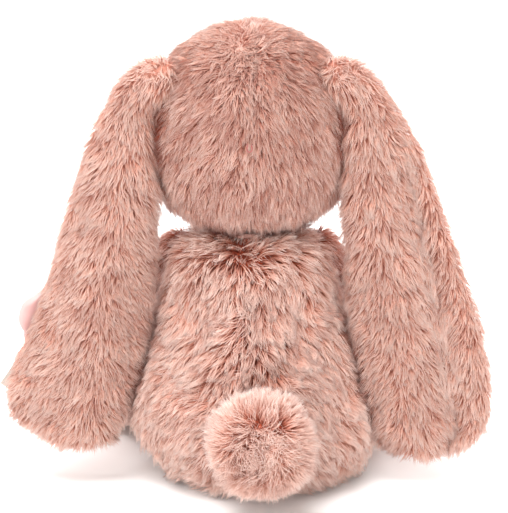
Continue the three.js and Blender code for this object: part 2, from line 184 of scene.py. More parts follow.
def bump(tree, shader, height, strength, distance):
    node = tree.nodes.new("ShaderNodeBump")
    node.inputs["Strength"].default_value = strength
    node.inputs["Distance"].default_value = distance
    tree.links.new(height, node.inputs["Height"])
    tree.links.new(node.outputs["Normal"], shader.inputs["Normal"])


def fur_material(name, dark, light):
    """Pile: colour runs from the root to the tip along V, its darkening towards the root being painted shade
    deep in the pile, and from a dark tuft to a light one along U, which also carries the painted crease
    shade.
    """
    material, tree, shader = plain_material(name, 0.75, specular=0.12, sheen=0.08)
    uv = tree.nodes.new("ShaderNodeUVMap")
    uv.uv_map = "OFBake"
    split = tree.nodes.new("ShaderNodeSeparateXYZ")
    tree.links.new(uv.outputs["UV"], split.inputs["Vector"])
    low, high = ramp(tree, dark), ramp(tree, light)
    mix = tree.nodes.new("ShaderNodeMix")
    mix.data_type = "RGBA"
    for node in (low, high):
        tree.links.new(split.outputs["Y"], node.inputs["Fac"])
    tree.links.new(split.outputs["X"], mix.inputs["Factor"])
    tree.links.new(low.outputs["Color"], mix.inputs["A"])
    tree.links.new(high.outputs["Color"], mix.inputs["B"])
    tree.links.new(mix.outputs["Result"], shader.inputs["Base Color"])
    return material


def cloth_material(name, dark, light, weave, roughness, sheen, depth):
    """Cloth, thread or plastic: soft patches of tone, and a fine weave or grain in the bump."""
    material, tree, shader = plain_material(name, roughness, sheen=sheen)
    patches = noise(tree, PATCHES)
    tones = ramp(tree, [(0.3, dark), (0.7, light)])
    tree.links.new(patches.outputs["Fac"], tones.inputs["Fac"])
    tree.links.new(tones.outputs["Color"], shader.inputs["Base Color"])
    grain = noise(tree, weave, detail=2.0)
    bump(tree, shader, grain.outputs["Fac"], 0.5, depth)
    return material


def backing_material(name, dark, light):
    """The knitted cloth that the pile grows from."""
    return cloth_material(name, dark, light, weave=900, roughness=0.9, sheen=0.2, depth=0.0004)


# Along both ramps the darkening towards the root is painted shade of the deep pile; the dark ramp serves both
# for darker tufts and for the painted crease shade.
FUR = fur_material(
    "plush_pile",
    dark=[
        (0.0, srgb(98, 16, 5)), (0.3, srgb(122, 36, 18)),
        (0.6, srgb(146, 60, 38)), (1.0, srgb(172, 94, 70)),
    ],
    light=[
        (0.0, srgb(160, 58, 30)), (0.3, srgb(216, 132, 106)),
        (0.6, srgb(238, 194, 177)), (1.0, srgb(254, 238, 231)),
    ],
)
# The dark colours of the ear backing and of the backing of the body, limbs, tail and neck are painted shade
# seen between the tufts; the face's backing, under short pile, is paler.
PALE_BACKING = backing_material("face_backing", srgb(212, 168, 154), srgb(226, 186, 172))
EAR_ROOT_SHADE_BACKING = backing_material("ear_backing_root_shade", srgb(198, 134, 114), srgb(216, 158, 140))
ROOT_SHADE_BACKING = backing_material("plush_backing_root_shade", srgb(150, 62, 38), srgb(176, 84, 58))
LINING = cloth_material(
    "velour_lining", srgb(206, 164, 161), srgb(218, 180, 177),
    weave=1400, roughness=0.6, sheen=0.25, depth=0.00008)
FIBRE = cloth_material(
    "polyester_fibre", srgb(228, 224, 216), srgb(247, 245, 241),
    weave=300, roughness=0.9, sheen=0.3, depth=0.001)
POUCH = cloth_material(
    "pouch_cotton", srgb(222, 216, 204), srgb(238, 234, 226),
    weave=1800, roughness=0.8, sheen=0.1, depth=0.0001)
THREAD = cloth_material(
    "seam_thread", srgb(196, 146, 133), srgb(222, 176, 163),
    weave=2500, roughness=0.6, sheen=0.2, depth=0.0001)
MOUTH = cloth_material(
    "mouth_thread", srgb(140, 78, 74), srgb(170, 100, 94),
    weave=2500, roughness=0.55, sheen=0.2, depth=0.0001)
WASHER = cloth_material(
    "washer_plastic", srgb(224, 224, 220), srgb(236, 236, 233),
    weave=500, roughness=0.45, sheen=0.0, depth=0.00003)
# The tape's grey stands for the shade it sits in: painted shade.
SHADED_RIBBON = cloth_material(
    "label_ribbon_shaded", srgb(172, 163, 154), srgb(192, 183, 174),
    weave=2600, roughness=0.7, sheen=0.1, depth=0.00005)
EYE = cloth_material(
    "eye_plastic", srgb(24, 14, 10), srgb(40, 24, 17),
    weave=200, roughness=0.06, sheen=0.0, depth=0.000002)
NOSE = cloth_material(
    "nose_plastic", srgb(150, 84, 80), srgb(168, 98, 92),
    weave=1500, roughness=0.35, sheen=0.0, depth=0.00003)


# ---- skins ----
def soft_skin(name, nodes, voxel, inset, smoothing=12, shape=None):
    """One closed skin over these CAD solids, smoothed, let in by a distance, and then shaped."""
    vertices, faces = [], []
    for node in nodes:
        data = frame["nodes"][node].data
        base = len(vertices)
        vertices += [v.co.copy() for v in data.vertices]
        faces += [[base + i for i in p.vertices] for p in data.polygons]
    rough = bpy.data.meshes.new(name + "_rough")
    rough.from_pydata(vertices, [], faces)
    piece = new_object(name + "_rough", rough)
    remesh = piece.modifiers.new("remesh", "REMESH")
    remesh.mode = "VOXEL"
    remesh.voxel_size = voxel
    relax = piece.modifiers.new("relax", "SMOOTH")
    relax.factor = 0.5
    relax.iterations = smoothing
    shrink = piece.modifiers.new("shrink", "DISPLACE")
    shrink.mid_level = 0.0
    shrink.strength = -inset
    bpy.context.view_layer.update()
    evaluated = piece.evaluated_get(bpy.context.evaluated_depsgraph_get())
    mesh = bpy.data.meshes.new_from_object(evaluated)
    bpy.data.objects.remove(piece)
    mesh.name = name
    mesh.materials.clear()
    if shape is not None:
        co = mesh_points(mesh)
        mesh.vertices.foreach_set("co", shape(co).astype(np.float32).ravel())
        mesh.update()
    mesh.shade_smooth()
    return new_object(name, mesh)


def mesh_points(mesh):
    """The places of a mesh's vertices, one row each."""
    co = np.empty(len(mesh.vertices) * 3, np.float32)
    mesh.vertices.foreach_get("co", co)
    return co.reshape(-1, 3).astype(float)


def scatter(mesh, spacing, rng):
    """Points about one spacing apart all over a mesh, and the surface's normal at each."""
    mesh.calc_loop_triangles()
    co = mesh_points(mesh)
    normals = np.empty(len(mesh.vertices) * 3, np.float32)
    mesh.vertex_normals.foreach_get("vector", normals)
    normals = normals.reshape(-1, 3).astype(float)
    triangles = np.empty(len(mesh.loop_triangles) * 3, np.int32)
    mesh.loop_triangles.foreach_get("vertices", triangles)
    triangles = triangles.reshape(-1, 3)
    a, b, c = (co[triangles[:, i]] for i in range(3))
    areas = np.linalg.norm(np.cross(b - a, c - a), axis=1) / 2
    count = int(areas.sum() / spacing**2)
    where = (np.arange(count) + rng.random(count)) / count * areas.sum()
    chosen = np.minimum(np.searchsorted(np.cumsum(areas), where), len(areas) - 1)
    u, v = rng.random(count), rng.random(count)
    over = u + v > 1
    u[over], v[over] = 1 - u[over], 1 - v[over]
    weights = np.stack([1 - u - v, u, v], axis=1)[:, :, None]
    corners = triangles[chosen]
    return (co[corners] * weights).sum(1), unit((normals[corners] * weights).sum(1))


# ---- pile ----
SHORT_STEPS = np.array([0.0, 0.5, 1.0])
LONG_STEPS = np.array([0.0, 0.36, 0.7, 1.0])
SECTION = np.array([[-1.0, -0.3], [1.0, -0.3], [0.0, 0.6]])  # a flattened bundle of fibres, across and up
CORNERS = len(SECTION)
TAPER = 2.2  # the higher, the later a tuft narrows towards its tip
ROOTED = 0.8 * MM  # how far below the skin a tuft starts
FULL_PILE = 0.012  # a shorter tuft gets less of the painted shade at the roots
LIFTED = 0.6 * MM  # the lowest that a tuft lies over the floor
MOST_TRIANGLES = 190000  # in one piece
# How much tufts differ from their style: each one at random, and slowly from place to place.
LENGTH_VARIES = (0.12, 0.1)
LEAN_VARIES = (0.1, 0.16)
TONE_VARIES = (0.07, 0.08)
CLUMP_TONE_VARIES = 0.11
GRIP_VARIES = 0.16
WIDTH_VARIES = 0.2
WAVE_VARIES = 0.4
FLATTEST = 1.42  # the most that a tuft leans, in radians


def grown(roots, normals, flow, steps, length, lean, droop, wave, turn):
    """The centre line of each tuft: it leaves the skin leaning, lies down along the flow, and droops."""
    side = unit(np.cross(normals, flow))
    points = [roots - normals * ROOTED]
    for before, after in zip(steps[:-1], steps[1:]):
        middle = (before + after) / 2
        angle = lean * (0.62 + 0.6 * middle)
        heading = normals * np.cos(angle)[:, None] + flow * np.sin(angle)[:, None]
        heading = heading - UP * (droop * middle**1.5)[:, None]
        bend = wave * np.cos(turn + 2 * math.pi * 1.1 * middle)
        heading = unit(heading + side * bend[:, None])
        points.append(points[-1] + heading * (length * (after - before))[:, None])
    return np.stack(points, axis=1)


def nearest(points, centres):
    """The number of the centre that is nearest to each point."""
    tree = kdtree.KDTree(len(centres))
    for i, centre in enumerate(centres):
        tree.insert(centre, i)
    tree.balance()
    return np.array([tree.find(p)[1] for p in points])


def tuft_mesh(name, lines, normals, width, tone, depth, steps):
    """Each line as a flattened tapering tube, with U its tone and V the way from its root to its tip, of
    which a short tuft has only the outer share that depth gives."""
    count = len(lines)
    rings = len(steps) - 1
    along = unit(np.gradient(lines, axis=1))
    side = unit(np.cross(along, normals[:, None, :]))
    up = np.cross(side, along)
    half = (width[:, None] / 2) * (1 - steps[None, :rings] ** TAPER)
    ring = (
        lines[:, :rings, None, :]
        + side[:, :rings, None, :] * (half[:, :, None] * SECTION[:, 0])[..., None]
        + up[:, :rings, None, :] * (half[:, :, None] * SECTION[:, 1])[..., None]
    )
    per = rings * CORNERS + 1
    vertices = np.concatenate([ring.reshape(count, per - 1, 3), lines[:, -1:, :]], axis=1)
    sides = [(j, (j + 1) % CORNERS) for j in range(CORNERS)]
    starts_of_rings = [CORNERS * k for k in range(rings)]
    quads = [
        [low + j, high + j, high + after, low + after]
        for low, high in zip(starts_of_rings[:-1], starts_of_rings[1:])
        for j, after in sides
    ]
    last = starts_of_rings[-1]
    triangles = [[last + j, per - 1, last + after] for j, after in sides] + [[0, 1, 2]]
    corners = np.array([i for face in quads + triangles for i in face])
    starts = np.cumsum([0] + [4] * len(quads) + [3] * (len(triangles) - 1))
    mesh = bpy.data.meshes.new(name)
    mesh.vertices.add(count * per)
    mesh.vertices.foreach_set("co", vertices.astype(np.float32).ravel())
    offsets = np.arange(count)[:, None]
    mesh.loops.add(count * len(corners))
    mesh.loops.foreach_set("vertex_index", (offsets * per + corners).astype(np.int32).ravel())
    mesh.polygons.add(count * len(starts))
    mesh.polygons.foreach_set("loop_start", (offsets * len(corners) + starts).astype(np.int32).ravel())
    layer = mesh.uv_layers.new(name="OFBake")
    level = np.append(np.repeat(steps[:rings], CORNERS), 1.0)[corners]
    uv = np.empty((count, len(corners), 2), np.float32)
    uv[..., 0] = np.clip(tone, 0.02, 0.98)[:, None]
    uv[..., 1] = 0.02 + 0.96 * (1 - (1 - level) * depth[:, None])
    layer.data.foreach_set("uv", uv.ravel())
    mesh.update(calc_edges=True)
    mesh.shade_smooth()
    return mesh


def everywhere(points, normals):
    """Pile grows all over the skin."""
    return np.ones(len(points), bool)


def same(value):
    """A style that is the same at every place."""
    return lambda points, *normals: np.full(len(points), value)


def or_same(value):
    """A style that is already a function of the place, or else the same everywhere."""
    return value if callable(value) else same(value)


def pile(
    length, steps=SHORT_STEPS, width=0.46, spacing=0.84, clump=2.1,
    lean=1.05, droop=0.35, wave=0.22, jitter=0.2, grip=0.72, stray=0.25, swirl=14,
    tone=0.84, pressed=0.8, beside=(), grows=everywhere, split=lambda p: p[:, 0],
):
    """How a skin's pile grows, with sizes in mm and angles in radians.

    Length (which is in metres when it's a function), lean and jitter may be functions of the place. Tufts
    are gripped by the clumps that they stand in, stray over swirls, and get a painted crease shade, a darker
    tone, where a node that is beside them lies near. The tone is 0 for dark and 1 for light, and split says
    along what the pile is cut into pieces."""
    return dict(
        length=length if callable(length) else same(length * MM), steps=steps, width=width * MM,
        spacing=spacing * MM, clump=clump * MM, lean=or_same(lean), droop=droop, wave=wave,
        jitter=or_same(jitter), grip=grip, stray=stray, swirl=swirl * MM, tone=tone, pressed=pressed,
        beside=beside, grows=grows, split=split,
    )


def grow_pile(name, skin, body, flow, style, seed):
    """Grows the pile of one skin, in pieces of at most MOST_TRIANGLES."""
    rng = np.random.default_rng(seed)
    steps = style["steps"]
    roots, normals = scatter(skin.data, style["spacing"], rng)
    centres, centre_normals = scatter(skin.data, style["clump"], rng)
    keep = style["grows"](roots, normals)
    roots, normals = roots[keep], normals[keep]

    def lines_of(points, directions, jitter):
        n = len(points)
        heading = flow(points, directions)
        side = np.cross(directions, heading)
        turned = style["stray"] * ripple(points, style["swirl"], seed) + rng.normal(0, 1, n) * jitter(points)
        heading = heading * np.cos(turned)[:, None] + side * np.sin(turned)[:, None]
        uneven = rng.normal(0, LENGTH_VARIES[0], n) + LENGTH_VARIES[1] * ripple(points, 0.02, seed + 1)
        size = style["length"](points) * (1 + uneven)
        lean = style["lean"](points, directions) + rng.normal(0, LEAN_VARIES[0], n)
        lean = np.clip(lean + LEAN_VARIES[1] * ripple(points, 0.016, seed + 2), 0.05, FLATTEST)
        wave = np.abs(rng.normal(style["wave"], style["wave"] * WAVE_VARIES, n))
        turn = rng.random(n) * 2 * math.pi
        droop = np.full(n, style["droop"])
        return grown(points, directions, heading, steps, size, lean, droop, wave, turn)

    own = lines_of(roots, normals, style["jitter"])
    shared = lines_of(centres, centre_normals, style["jitter"])
    member = nearest(roots, centres)
    grip = np.clip(rng.normal(style["grip"], GRIP_VARIES, len(roots)), 0, 0.9)
    gripped = grip[:, None] * steps[None, :] ** 1.2
    lines = own + (shared[member] - own) * gripped[:, :, None]
    lines[..., 2] = np.maximum(lines[..., 2], LIFTED)
    tips = shared[:, -1]
    # Painted shade: clumps whose tips lie near a part of another piece get a darker tone, as if in the
    # crease's shadow, except at the ear roots.
    pressed = painted_crease_shade(tips, style["beside"]) * (1 - smooth_step(tips[:, 2], *UNSHADED_EAR_ROOTS))
    clump_tone = rng.normal(style["tone"], CLUMP_TONE_VARIES, len(centres)) - style["pressed"] * pressed
    tone = clump_tone[member] + rng.normal(0, TONE_VARIES[0], len(roots))
    tone = tone + TONE_VARIES[1] * ripple(roots, 0.022, seed + 3)
    # How much of the painted root shade a tuft gets.
    depth = np.clip(style["length"](roots) / FULL_PILE, 0.25, 1)
    width = style["width"] * (1 + rng.normal(0, WIDTH_VARIES, len(roots))).clip(0.5, 1.6)
    order = np.argsort(style["split"](roots), kind="stable")
    tuft_triangles = 2 * CORNERS * (len(steps) - 2) + CORNERS + 1  # the sides, the tip and the root
    pieces = math.ceil(len(roots) * tuft_triangles / MOST_TRIANGLES)
    for i, chosen in enumerate(np.array_split(order, pieces)):
        rows = [values[chosen] for values in (lines, normals, width, tone, depth)]
        mesh = tuft_mesh(f"{name}_{i + 1}", *rows, steps)
        finish_piece(new_object(mesh.name, mesh), body, FUR)


# ---- head ----
head_nodes = ["face_panel", "head_back_panel_left", "head_back_panel_right"]
body_nodes = ["body_front_panel", "body_back_panel_left", "body_back_panel_right", "seat_panel"]
head_low, head_high = box_of("head_back_panel_left", "head_back_panel_right")
head_middle = (head_low + head_high) / 2
crown = np.array([0.007, head_high[1] - 0.026, head_high[2] - 0.008])
nose_low, nose_high = box_of("nose")
nose_at = np.array([0, nose_low[1] + 0.004, (nose_low[2] + nose_high[2]) / 2])
closing_at = np.array([0.0, head_high[1] + 0.0005, 0.226])
eye_at = [np.mean(box_of(f"eye_{name}"), axis=0) for name in SIDES]
FACE_FROM = (0.03, 0.045)  # how far in front of the middle the skin begins to follow the face, and fully does


def pucker(p):
    """1 at the closing stitch on the back of the head, and 0 away from it."""
    return bell(distance_from(p, closing_at), 0.0045)


def head_flow(p, n):
    """From the crown outwards; at the back the left half sweeps outwards and the right half hangs."""
    from_crown = unit(p - crown)
    swept = np.where(p[:, 0] > 0, 1.0, -0.3) * smooth_step(np.abs(p[:, 0]), 0.0, 0.01)
    swept = swept * smooth_step(p[:, 2], head_low[2] + 0.01, head_middle[2] + 0.01)
    back = 0.8 * from_crown + np.stack([0.9 * swept, 0 * swept, -0.75 + 0 * swept], axis=1)
    front = unit(p - nose_at) * np.array([1.0, 1.0, 0.7]) - 0.5 * UP
    facing = smooth_step(-p[:, 1], 0.002, 0.03)[:, None]
    return tangential(back * (1 - facing) + front * facing, n)


def head_length(p):
    """Short on the face, shortest round the nose and the eyes, and long where the ears press on it."""
    reach = (12.5 + 3.5 * smooth_step(np.abs(p[:, 0]), 0.045, 0.058)) * MM
    reach = reach * (1 - 0.25 * smooth_step(p[:, 2], head_high[2] - 0.025, head_high[2]))
    face = smooth_step(-p[:, 1], 0.01, 0.045)
    near_nose = 1 - smooth_step(distance_from(p, nose_at), 0.008, 0.05)
    reach = reach * (1 - 0.45 * face) * (1 - 0.5 * near_nose) * (1 - 0.45 * pucker(p))
    for eye in eye_at:
        reach *= 0.45 + 0.55 * smooth_step(distance_from(p, eye), 0.009, 0.024)
    return reach


def head_lean(p, n):
    """The pile stands up a little along the seam, and lies flatter elsewhere."""
    return 0.85 + 0.22 * smooth_step(np.abs(p[:, 0]), 0.0, 0.006)


def head_jitter(p):
    """The tufts go every way at the crown, so that the skin doesn't show there."""
    return 0.18 + 1.2 * bell(distance_from(p, crown), 0.016)


def off_the_face(p, n):
    """No pile grows under the nose or under the eyes."""
    free = np.linalg.norm((p - nose_at) * np.array([1, 1, 1.3]), axis=1) > 0.009
    for eye in eye_at:
        free &= distance_from(p, eye) > 0.0075
    return free


def onto_the_face(co):
    """Brings the front of the skin out to the face panel, so that the muzzle keeps its shape."""
    panel = cad_surface("face_panel")
    outside = 0.15  # a distance from the middle of the head that is past its surface
    out = co.copy()
    for i in np.flatnonzero(co[:, 1] < -FACE_FROM[0]):
        way = unit(co[i] - head_middle)
        hit = panel.ray_cast(Vector(head_middle + way * outside), Vector(-way))[0]
        if hit is not None and (hit - Vector(head_middle)).length > np.linalg.norm(co[i] - head_middle):
            share = smooth_step(-co[i, 1], *FACE_FROM)
            out[i] = co[i] * (1 - share) + np.array(hit) * share
    return out


def head_shape(co):
    """The back seam draws the skin in, and its closing stitch more; the skin swells round the eyes."""
    depth = 2.4 * MM * bell(co[:, 0], 0.004) * smooth_step(co[:, 1], -0.015, 0.01)
    depth += 2.5 * MM * pucker(co)
    co = onto_the_face(co)
    for eye in eye_at:
        depth -= 2.6 * MM * bell(distance_from(co, eye), 0.010)
    return co - unit(co - head_middle) * depth[:, None]


head_skin = soft_skin("head_skin", head_nodes + ["head_stuffing"],
                      voxel=0.0025, inset=0.0005, shape=head_shape)
finish_piece(head_skin, "head", PALE_BACKING, head_nodes)
# The head's pile has a darker tone than the ears', limbs' and tail's: painted shade.
grow_pile("head_fur", head_skin, "head", head_flow,
          pile(head_length, grows=off_the_face, lean=head_lean, jitter=head_jitter, tone=0.63, pressed=0.5,
               beside=["ear_back_left", "ear_back_right", *body_nodes],
               split=lambda p: p[:, 1]),
          seed=11)


def closing_stitch():
    """The loop of thread that closes the head's seam, with both its ends in the pile."""
    turns = np.linspace(-0.25 * math.pi, 1.25 * math.pi, 22)
    across, outwards, down = 1.5 * np.cos(turns), 7.5 + 0.9 * np.sin(turns), -2.0 * np.sin(turns)
    loop = np.stack([across, outwards, down], axis=1) * MM
    ends = [loop[0] - np.array([-1, 9, 0]) * MM, loop[-1] - np.array([1, 9, 0]) * MM]
    line = closing_at + np.vstack([ends[0], loop, ends[1]])
    curve = bpy.data.curves.new("closing_stitch", "CURVE")
    curve.dimensions = "3D"
    curve.bevel_depth = 0.35 * MM
    curve.bevel_resolution = 3
    spline = curve.splines.new("POLY")
    spline.points.add(len(line) - 1)
    for point, at in zip(spline.points, line):
        point.co = (*at, 1.0)
    finish_piece(new_object("closing_stitch", curve), "head", MOUTH)


closing_stitch()

# ---- body ----
body_low, body_high = box_of(*body_nodes)


def body_flow(p, n):
    """Outwards and down from the spine at the back, and down at the front."""
    across = np.clip(np.abs(p[:, 0]) / body_high[0], 0, 1)
    sign = np.tanh(p[:, 0] / 0.006)
    outward = 0.6 + 0.35 * smooth_step(across, 0.0, 0.35) - 0.45 * smooth_step(across, 0.35, 1.0)
    outward = outward * (0.4 + 0.6 * smooth_step(body_high[2] - p[:, 2], 0.01, 0.045))
    back = np.stack([sign * outward, 0 * across, -0.8 - 0.4 * across], axis=1)
    back = back + 0.28 * whorls(p, 0.03, 22)
    front = np.stack([sign * 0.35, 0 * across, -1.0 + 0 * across], axis=1)
    facing = smooth_step(-p[:, 1], -0.01, 0.03)[:, None]
    return tangential(back * (1 - facing) + front * facing, n)


def body_lean(p, n):
    """The pile stands up along the spine and round the neck, where it fills the gap under the head."""
    from_seam = 0.7 + 0.3 * smooth_step(np.abs(p[:, 0]), 0.0, 0.01)
    from_neck = 1 - 0.2 * smooth_step(p[:, 2], body_high[2] - 0.014, body_high[2] - 0.002)
    return 1.02 * from_seam * from_neck


def body_jitter(p):
    """The tufts go every way along the spine."""
    return 0.18 + 0.4 * bell(p[:, 0], 0.004) * (p[:, 1] > 0)


def body_shape(co):
    """The spine seam draws the skin in, and the seat settles to the right, most on the left side."""
    depth = 2.0 * MM * bell(co[:, 0], 0.004) * smooth_step(co[:, 1], -0.01, 0.02)
    settled = (4.0 + 7.0 * smooth_step(co[:, 0], 0.0, 0.06)) * MM * (1 - smooth_step(co[:, 2], 0.01, 0.07))
    return co - unit(co * np.array([1, 1, 0])) * depth[:, None] - np.array([1, 0, 0]) * settled[:, None]


def above_seat(p, n):
    """No pile grows where the body sits on the floor."""
    return (p[:, 2] > 0.002) & (n[:, 2] > -0.85)


body_skin = soft_skin("body_skin", body_nodes + ["body_stuffing", "pellet_pouch"],
                      voxel=0.003, inset=0.0005, shape=body_shape)
finish_piece(body_skin, "torso", ROOT_SHADE_BACKING, body_nodes)
# The body's pile has a lighter tone than the ears', limbs' and tail's: painted light.
grow_pile("body_fur", body_skin, "torso", body_flow,
          pile(17, steps=LONG_STEPS, spacing=0.96, width=0.54, clump=3.1, lean=body_lean, wave=0.32,
               jitter=body_jitter, tone=0.9, pressed=0.55, grip=0.76, droop=0.4, stray=0.34, swirl=22,
               grows=above_seat, split=lambda p: p[:, 1],
               beside=[*head_nodes, "ear_back_left", "ear_back_right", "arm_cover_left", "arm_cover_right"]),
          seed=21)

# ---- ears ----
EAR_SEEDS = {"left": 31, "right": 32}
EAR_SWELLINGS = {"left": 71, "right": 72}
LOBE = 0.66  # how far the left lining's swelling stands out, as a share of the CAD solid's
# Where the pile parts on each ear's back, as (height above the ear's tip, distance from the middle plane).
RIDGES = {
    "left": [(0.0, 0.104), (0.05, 0.094), (0.10, 0.092), (0.135, 0.082), (0.21, 0.068), (0.25, 0.06)],
    "right": [(0.0, 0.108), (0.04, 0.100), (0.11, 0.084), (0.17, 0.074), (0.22, 0.068), (0.25, 0.06)],
}


def ear_span(co, side):
    """The ear's middle and half width as functions of the height."""
    levels = np.linspace(co[:, 2].min(), co[:, 2].max(), 40)
    reach = levels[1] - levels[0]
    rows = [side * co[np.abs(co[:, 2] - level) < reach, 0] for level in levels]
    inner, outer = np.array([r.min() for r in rows]), np.array([r.max() for r in rows])
    return levels, (inner + outer) / 2, (outer - inner) / 2


def ear_back_shape(co, name, side, low, high):
    """Swells the middle of the back, and sinks a valley and a turned-up corner in the right ear."""
    levels, middles, halves = ear_span(co, side)
    middle, half = np.interp(co[:, 2], levels, middles), np.interp(co[:, 2], levels, halves)
    share = np.clip((side * co[:, 0] - middle) / np.maximum(half, 0.004), -1, 1)
    behind = smooth_step(co[:, 1], low[1] + 0.002, low[1] + 0.008)
    lift = 4.5 * MM * (1 - share**2) * smooth_step(half, 0.008, 0.02)
    lift += 1.2 * MM * ripple(co, 0.045, EAR_SWELLINGS[name])
    if name == "right":
        height = (co[:, 2] - low[2]) / (high[2] - low[2])
        valley = smooth_step(height, 0.2, 0.35) * (1 - smooth_step(height, 0.7, 0.85))
        lift -= 4.0 * MM * bell(share - 0.42, 0.22) * valley
        corner = bell(share - 0.45, 0.16) * (1 - smooth_step(height, 0.1, 0.2))
        lift -= 6.0 * MM * corner
    out = co.copy()
    out[:, 1] += lift * behind
    return out


def ear_flow(p, n, name, side, off, top):
    """Down and away from the ridge where the pile parts; at the right ear's outer edge it turns back."""
    spread = np.tanh(off / 0.012)
    if name == "right":
        spread = spread * (1 - 1.4 * smooth_step(off, 0.015, 0.035))
    direction = np.stack([side * 0.85 * spread, 0 * off, -0.8 + 0 * off], axis=1)
    root = smooth_step(p[:, 2], top - 0.034, top - 0.01)[:, None]
    return tangential(direction * (1 - root) + np.array([0.6 * side, 0.0, -0.9]) * root, n)


def ear_length(p, off):
    """Longer at the inner edge, where the pile lies against the head, and shorter at the root."""
    inwards = smooth_step(-off, 0.0, 0.012)
    upper = smooth_step(p[:, 2], 0.17, 0.21) * (1 - smooth_step(p[:, 2], 0.25, 0.27))
    return (11.5 + 4.5 * inwards * upper - 2.5 * smooth_step(p[:, 2], 0.25, 0.27)) * MM


def ear_lean(p, n):
    """The pile lies flat, and a little less so over the top of the ear."""
    return 1.1 - 0.12 * smooth_step(n[:, 2], 0.2, 0.9)


def ear_back(name, side):
    """The plush back of one ear, whose span it returns."""
    low, high = box_of(f"ear_back_{name}")
    heights, places = zip(*RIDGES[name])

    def off_the_ridge(p):
        return side * p[:, 0] - np.interp(p[:, 2] - low[2], heights, places)

    def jitter(p):
        return 0.18 + 1.0 * smooth_step(p[:, 2], high[2] - 0.014, high[2] - 0.002)

    def back_of_ear(p, n):
        return (n[:, 1] > -0.5) | (p[:, 1] > low[1] + 0.003)

    skin = soft_skin(f"ear_skin_{name}", [f"ear_back_{name}"], voxel=0.0018, inset=0.0, smoothing=8,
                     shape=lambda co: ear_back_shape(co, name, side, low, high))
    finish_piece(skin, f"ear_{name}", EAR_ROOT_SHADE_BACKING, [f"ear_back_{name}"])
    grow_pile(f"ear_fur_{name}", skin, f"ear_{name}",
              lambda p, n: ear_flow(p, n, name, side, off_the_ridge(p), high[2]),
              pile(lambda p: ear_length(p, off_the_ridge(p)), lean=ear_lean, jitter=jitter, wave=0.18,
                   stray=0.3, droop=0.3, grows=back_of_ear, beside=[*head_nodes, *body_nodes],
                   split=lambda p: p[:, 2]),
              seed=EAR_SEEDS[name])
    return ear_span(mesh_points(skin.data), side)


def lining_shape(co, side, plush_levels, plush_edge):
    """The lining is flat in front of the plush, and the left one swells where it passes the plush's edge."""
    edge = np.interp(co[:, 2], plush_levels, plush_edge)
    levels, middles, halves = ear_span(co, side)
    reach = np.interp(co[:, 2], levels, middles + halves)
    overhang = middles + halves - np.interp(levels, plush_levels, plush_edge)
    widest = levels[np.argmax(overhang)] - 0.011
    below = co[:, 2] < widest
    lobe = LOBE * max(overhang) * bell(co[:, 2] - widest, np.where(below, 0.0125, 0.022))
    inner = edge - 0.012
    share = np.clip((side * co[:, 0] - inner) / (reach - inner), 0, None)
    moved = np.where(share > 0, inner + share * (edge + lobe - inner), side * co[:, 0])
    past = smooth_step(moved - edge, -0.006, 0.007)
    middle_y = (co[:, 1].min() + co[:, 1].max()) / 2
    out = co.copy()
    if side > 0:
        out[:, 0] = moved
    out[:, 1] = middle_y + (co[:, 1] - middle_y) * (1 + 2.6 * past) + 0.7 * MM * ripple(co, 0.04, 81)
    return out


def ear_lining(name, side, plush_span):
    """The smooth front of one ear, which follows the outer edge of the plush back."""
    levels, middles, halves = plush_span
    lining = soft_skin(f"ear_lining_skin_{name}", [f"ear_lining_{name}"], voxel=0.0012, inset=-0.0004,
                       smoothing=5, shape=lambda co: lining_shape(co, side, levels, middles + halves))
    finish_piece(lining, f"ear_{name}", LINING, [f"ear_lining_{name}"])


for name, side in SIDES.items():
    ear_lining(name, side, ear_back(name, side))

# ---- care label ----
LABEL_FLAT = (0.040, 0.024)  # length and width
LABEL_THICKNESS = 0.0004


def care_label():
    """A woven tape that is sewn to the ear's lining by one end, and curls away from it."""
    node = frame["nodes"]["care_label"]
    corners = np.array([node.matrix_world @ v.co for v in node.data.vertices])
    level = (corners[:, 1].min() + corners[:, 1].max()) / 2
    near_the_end = 0.018
    outwards = np.array([0.003, 0, -0.001])
    root = corners[corners[:, 0] < corners[:, 0].min() + near_the_end].mean(axis=0) + outwards
    end = corners[corners[:, 0] > corners[:, 0].max() - near_the_end].mean(axis=0)
    along = unit((end - root) * np.array([1, 0, 1]) + outwards)
    across = np.cross(along, np.array([0.0, 1.0, 0.0]))
    rows, columns = 40, 24
    points, faces = [], []
    for i in range(rows + 1):
        share = i / rows
        curl = -2.2 * MM * math.sin(math.pi * min(share * 1.2, 1)) - 2.5 * MM * max(share - 0.6, 0)
        for j in range(columns + 1):
            sideways = (j / columns - 0.5) * LABEL_FLAT[1]
            ripple_here = 0.25 * MM * math.sin(7 * share + 5 * sideways / LABEL_FLAT[1])
            at = root + along * share * LABEL_FLAT[0] + across * sideways
            points.append((at[0], level + curl + ripple_here, at[2]))
    for i in range(rows):
        for j in range(columns):
            a = i * (columns + 1) + j
            faces.append((a, a + 1, a + columns + 2, a + columns + 1))
    mesh = bpy.data.meshes.new("label_tape")
    mesh.from_pydata(points, [], faces)
    label = new_object("label_tape", mesh)
    thicken = label.modifiers.new("cloth", "SOLIDIFY")
    thicken.thickness = LABEL_THICKNESS
    thicken.offset = 0
    finish_piece(label, "ear_left", SHADED_RIBBON, ["care_label"])


care_label()

# ---- arms and legs ----
ARM_SEEDS = {"left": 41, "right": 42}
LEG_SEEDS = {"left": 51, "right": 52}


def joint_at(name):
    return np.array(next(j for j in frame["joints"] if j["name"] == name)["pos_m"])


def along_a_limb(way, rise):
    """Pile that lies along the limb, and a little up or down."""
    return lambda p, n: tangential(np.tile(way, (len(p), 1)) + rise * UP, n)


